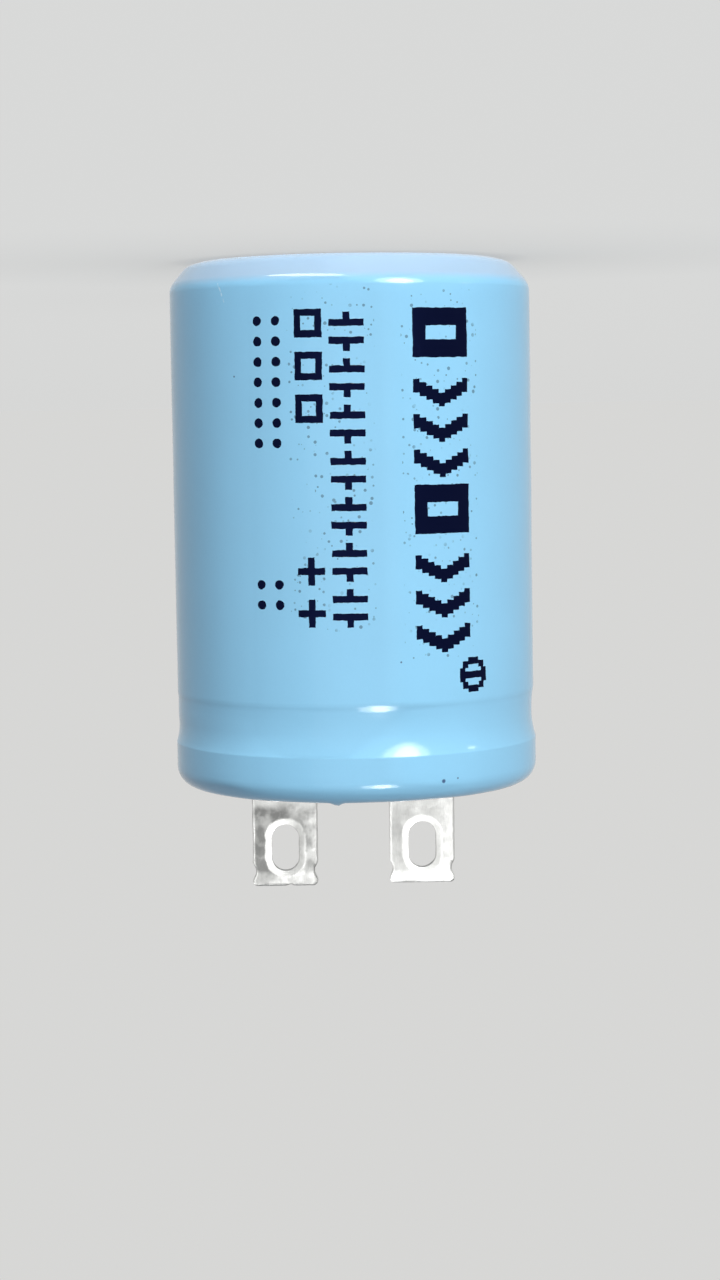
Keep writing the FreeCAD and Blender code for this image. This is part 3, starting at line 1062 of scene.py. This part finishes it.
CAMERA_PLACE = Vector((-0.375, -199.24, 10.74)) * MM
CAMERA_RIGHT = Vector((-0.99988, -0.00129, 0.01550))
CAMERA_UP = Vector((-0.01555, 0.08318, -0.99641))
CAMERA_SENSOR = 36.0
CAMERA_NEAREST = 5.0 * MM
FLOOR_REACH = 6.0
FLOOR_GLOW = 0.84
FLOOR_LIFT = 1.16
FLOOR_ROUGHNESS = 0.9
CONTACT_REACH = 30.0 * MM
CONTACT_SHADE = 0.78
CONTACT_SAMPLES = 8
LAMP_AIM = Vector((0.0, 0.0, 20.0)) * MM
LAMP_DISTANCE = 1.0
# Lamps stand one behind the other, so that none hides another
LAMP_GAP = 0.01
# Each lamp: degrees to the picture's right and up towards the lugs, width, height, level
LAMPS = {
    "key": (33.0, -25.0, 0.52, 0.60, 0.42),
    "bulb": (33.0, -24.0, 0.28, 0.44, 0.29),
    "shoulder": (-41.0, -60.0, 0.72, 0.26, 0.46),
    "crown": (15.0, 27.0, 0.38, 0.26, 0.15),
    "spark": (16.5, 26.5, 0.18, 0.26, 0.10),
    "side": (79.0, -14.0, 0.10, 0.07, 0.012),
    "front": (0.0, 8.0, 1.00, 1.00, 0.065),
    "below": (0.0, -62.0, 0.60, 0.60, 0.25),
    "rear": (180.0, -16.0, 0.40, 0.40, 0.60),
}
# Lamps that leave no reflection
SOFT_LAMPS = ("below", "rear")


def make_world(look):
    """Room: pale to the eye and in reflections, and an even light on everything"""
    world = bpy.data.worlds.new("room")
    bpy.context.scene.world = world
    world.use_nodes = True
    room = Graph(world.node_tree)
    shown = room.mix(room.seen(), look.ambient, look.backdrop)
    room.feed(room.tree.nodes["Background"].inputs["Color"], shown)


def make_floor(look):
    """Large pale floor in the room's colour, which keeps the cell's shadow and has contact shade painted into
    its glow
    """
    bm = bmesh.new()
    bmesh.ops.create_grid(bm, x_segments=1, y_segments=1, size=FLOOR_REACH)
    mesh = bpy.data.meshes.new("floor")
    bm.to_mesh(mesh)
    bm.free()
    paint = Finish("floor_paint", Roughness=FLOOR_ROUGHNESS)
    paint.feed(paint.shader.inputs["Base Color"], look.backdrop)
    # Contact shade painted into the glow round the cell, from ambient occlusion
    contact = paint.node(
        "ShaderNodeAmbientOcclusion", {"samples": CONTACT_SAMPLES}, {"Distance": CONTACT_REACH})
    dark = tone(look.backdrop, CONTACT_SHADE)
    light = tone(look.backdrop, FLOOR_LIFT)
    shaded = paint.mix(contact.output("AO"), dark, light)
    glow = paint.node("ShaderNodeEmission", {}, {"Color": shaded})
    painted = Term(paint, paint.shader.outputs[0])
    shown = paint.node("ShaderNodeMixShader", {}, {0: paint.seen() * FLOOR_GLOW, 1: painted, 2: glow})
    paint.feed(paint.tree.nodes["Material Output"].inputs["Surface"], shown)
    mesh.materials.append(paint.material)
    floor = bpy.data.objects.new("floor", mesh)
    bpy.context.scene.collection.objects.link(floor)
    floor.visible_shadow = False
    floor.visible_glossy = False


def make_lamps():
    """Soft oval lamps round the cell, all aimed at it"""
    for i, (name, (turn, rise, width, height, level)) in enumerate(LAMPS.items()):
        across = math.radians(turn)
        up = math.radians(rise)
        direction = Vector((-math.sin(across) * math.cos(up), -math.cos(across) * math.cos(up), math.sin(up)))
        light = bpy.data.lights.new(name, "AREA")
        light.shape = "ELLIPSE"
        light.size = width
        light.size_y = height
        light.energy = level * (math.pi * LAMP_DISTANCE) ** 2
        lamp = bpy.data.objects.new(name, light)
        lamp.location = LAMP_AIM + direction * (LAMP_DISTANCE - LAMP_GAP * i)
        lamp.rotation_mode = "QUATERNION"
        lamp.rotation_quaternion = direction.to_track_quat("Z", "Y")
        lamp.visible_camera = False
        lamp.visible_glossy = name not in SOFT_LAMPS
        bpy.context.scene.collection.objects.link(lamp)


def make_camera(look):
    """Camera level with the cell and rolled half a turn, so that the lugs point down in the picture"""
    data = bpy.data.cameras.new("camera")
    data.lens = look.lens
    data.sensor_width = CAMERA_SENSOR
    data.clip_start = CAMERA_NEAREST
    camera = bpy.data.objects.new("camera", data)
    back = CAMERA_RIGHT.cross(CAMERA_UP)
    turn = Matrix((CAMERA_RIGHT, CAMERA_UP, back)).transposed()
    camera.matrix_world = Matrix.Translation(CAMERA_PLACE) @ turn.to_4x4()
    bpy.context.scene.collection.objects.link(camera)
    bpy.context.scene.camera = camera


class SUPERCAP_OT_stage(bpy.types.Operator):
    """Make the floor, room, lamps and camera"""

    bl_idname = "supercap.stage"
    bl_label = "Stage"

    def execute(self, context):
        look = context.scene.supercap_stage
        context.scene.view_settings.view_transform = "Standard"
        make_world(look)
        make_floor(look)
        make_lamps()
        make_camera(look)
        return {"FINISHED"}


# Panel and registration


class SUPERCAP_PT_panel(bpy.types.Panel):
    """Lists the cell's pieces and their settings"""

    bl_idname = "SUPERCAP_PT_panel"
    bl_label = "Supercapacitor"
    bl_space_type = "VIEW_3D"
    bl_region_type = "UI"
    bl_category = "Supercapacitor"

    def draw(self, context):
        for operator in OPERATORS:
            self.layout.operator(operator.bl_idname)
        for name in LOOKS:
            group = getattr(context.scene, name)
            box = self.layout.box()
            for setting in group.__annotations__:
                box.prop(group, setting)


OPERATORS = (
    SUPERCAP_OT_sleeve,
    SUPERCAP_OT_lugs,
    SUPERCAP_OT_can,
    SUPERCAP_OT_header,
    SUPERCAP_OT_element,
    SUPERCAP_OT_stage,
)
LOOKS = {"supercap_sleeve": SleeveLook, "supercap_lugs": LugLook, "supercap_stage": StageLook}


def register():
    for group in LOOKS.values():
        bpy.utils.register_class(group)
    for name, group in LOOKS.items():
        setattr(bpy.types.Scene, name, PointerProperty(type=group))
    for operator in OPERATORS:
        bpy.utils.register_class(operator)
    bpy.utils.register_class(SUPERCAP_PT_panel)


def unregister():
    bpy.utils.unregister_class(SUPERCAP_PT_panel)
    for operator in reversed(OPERATORS):
        bpy.utils.unregister_class(operator)
    for name, group in LOOKS.items():
        delattr(bpy.types.Scene, name)
        bpy.utils.unregister_class(group)


def main():
    register()
    bpy.ops.supercap.sleeve()
    bpy.ops.supercap.lugs()
    bpy.ops.supercap.can()
    bpy.ops.supercap.header()
    bpy.ops.supercap.element()
    bpy.ops.supercap.stage()


if __name__ == "__main__":
    main()
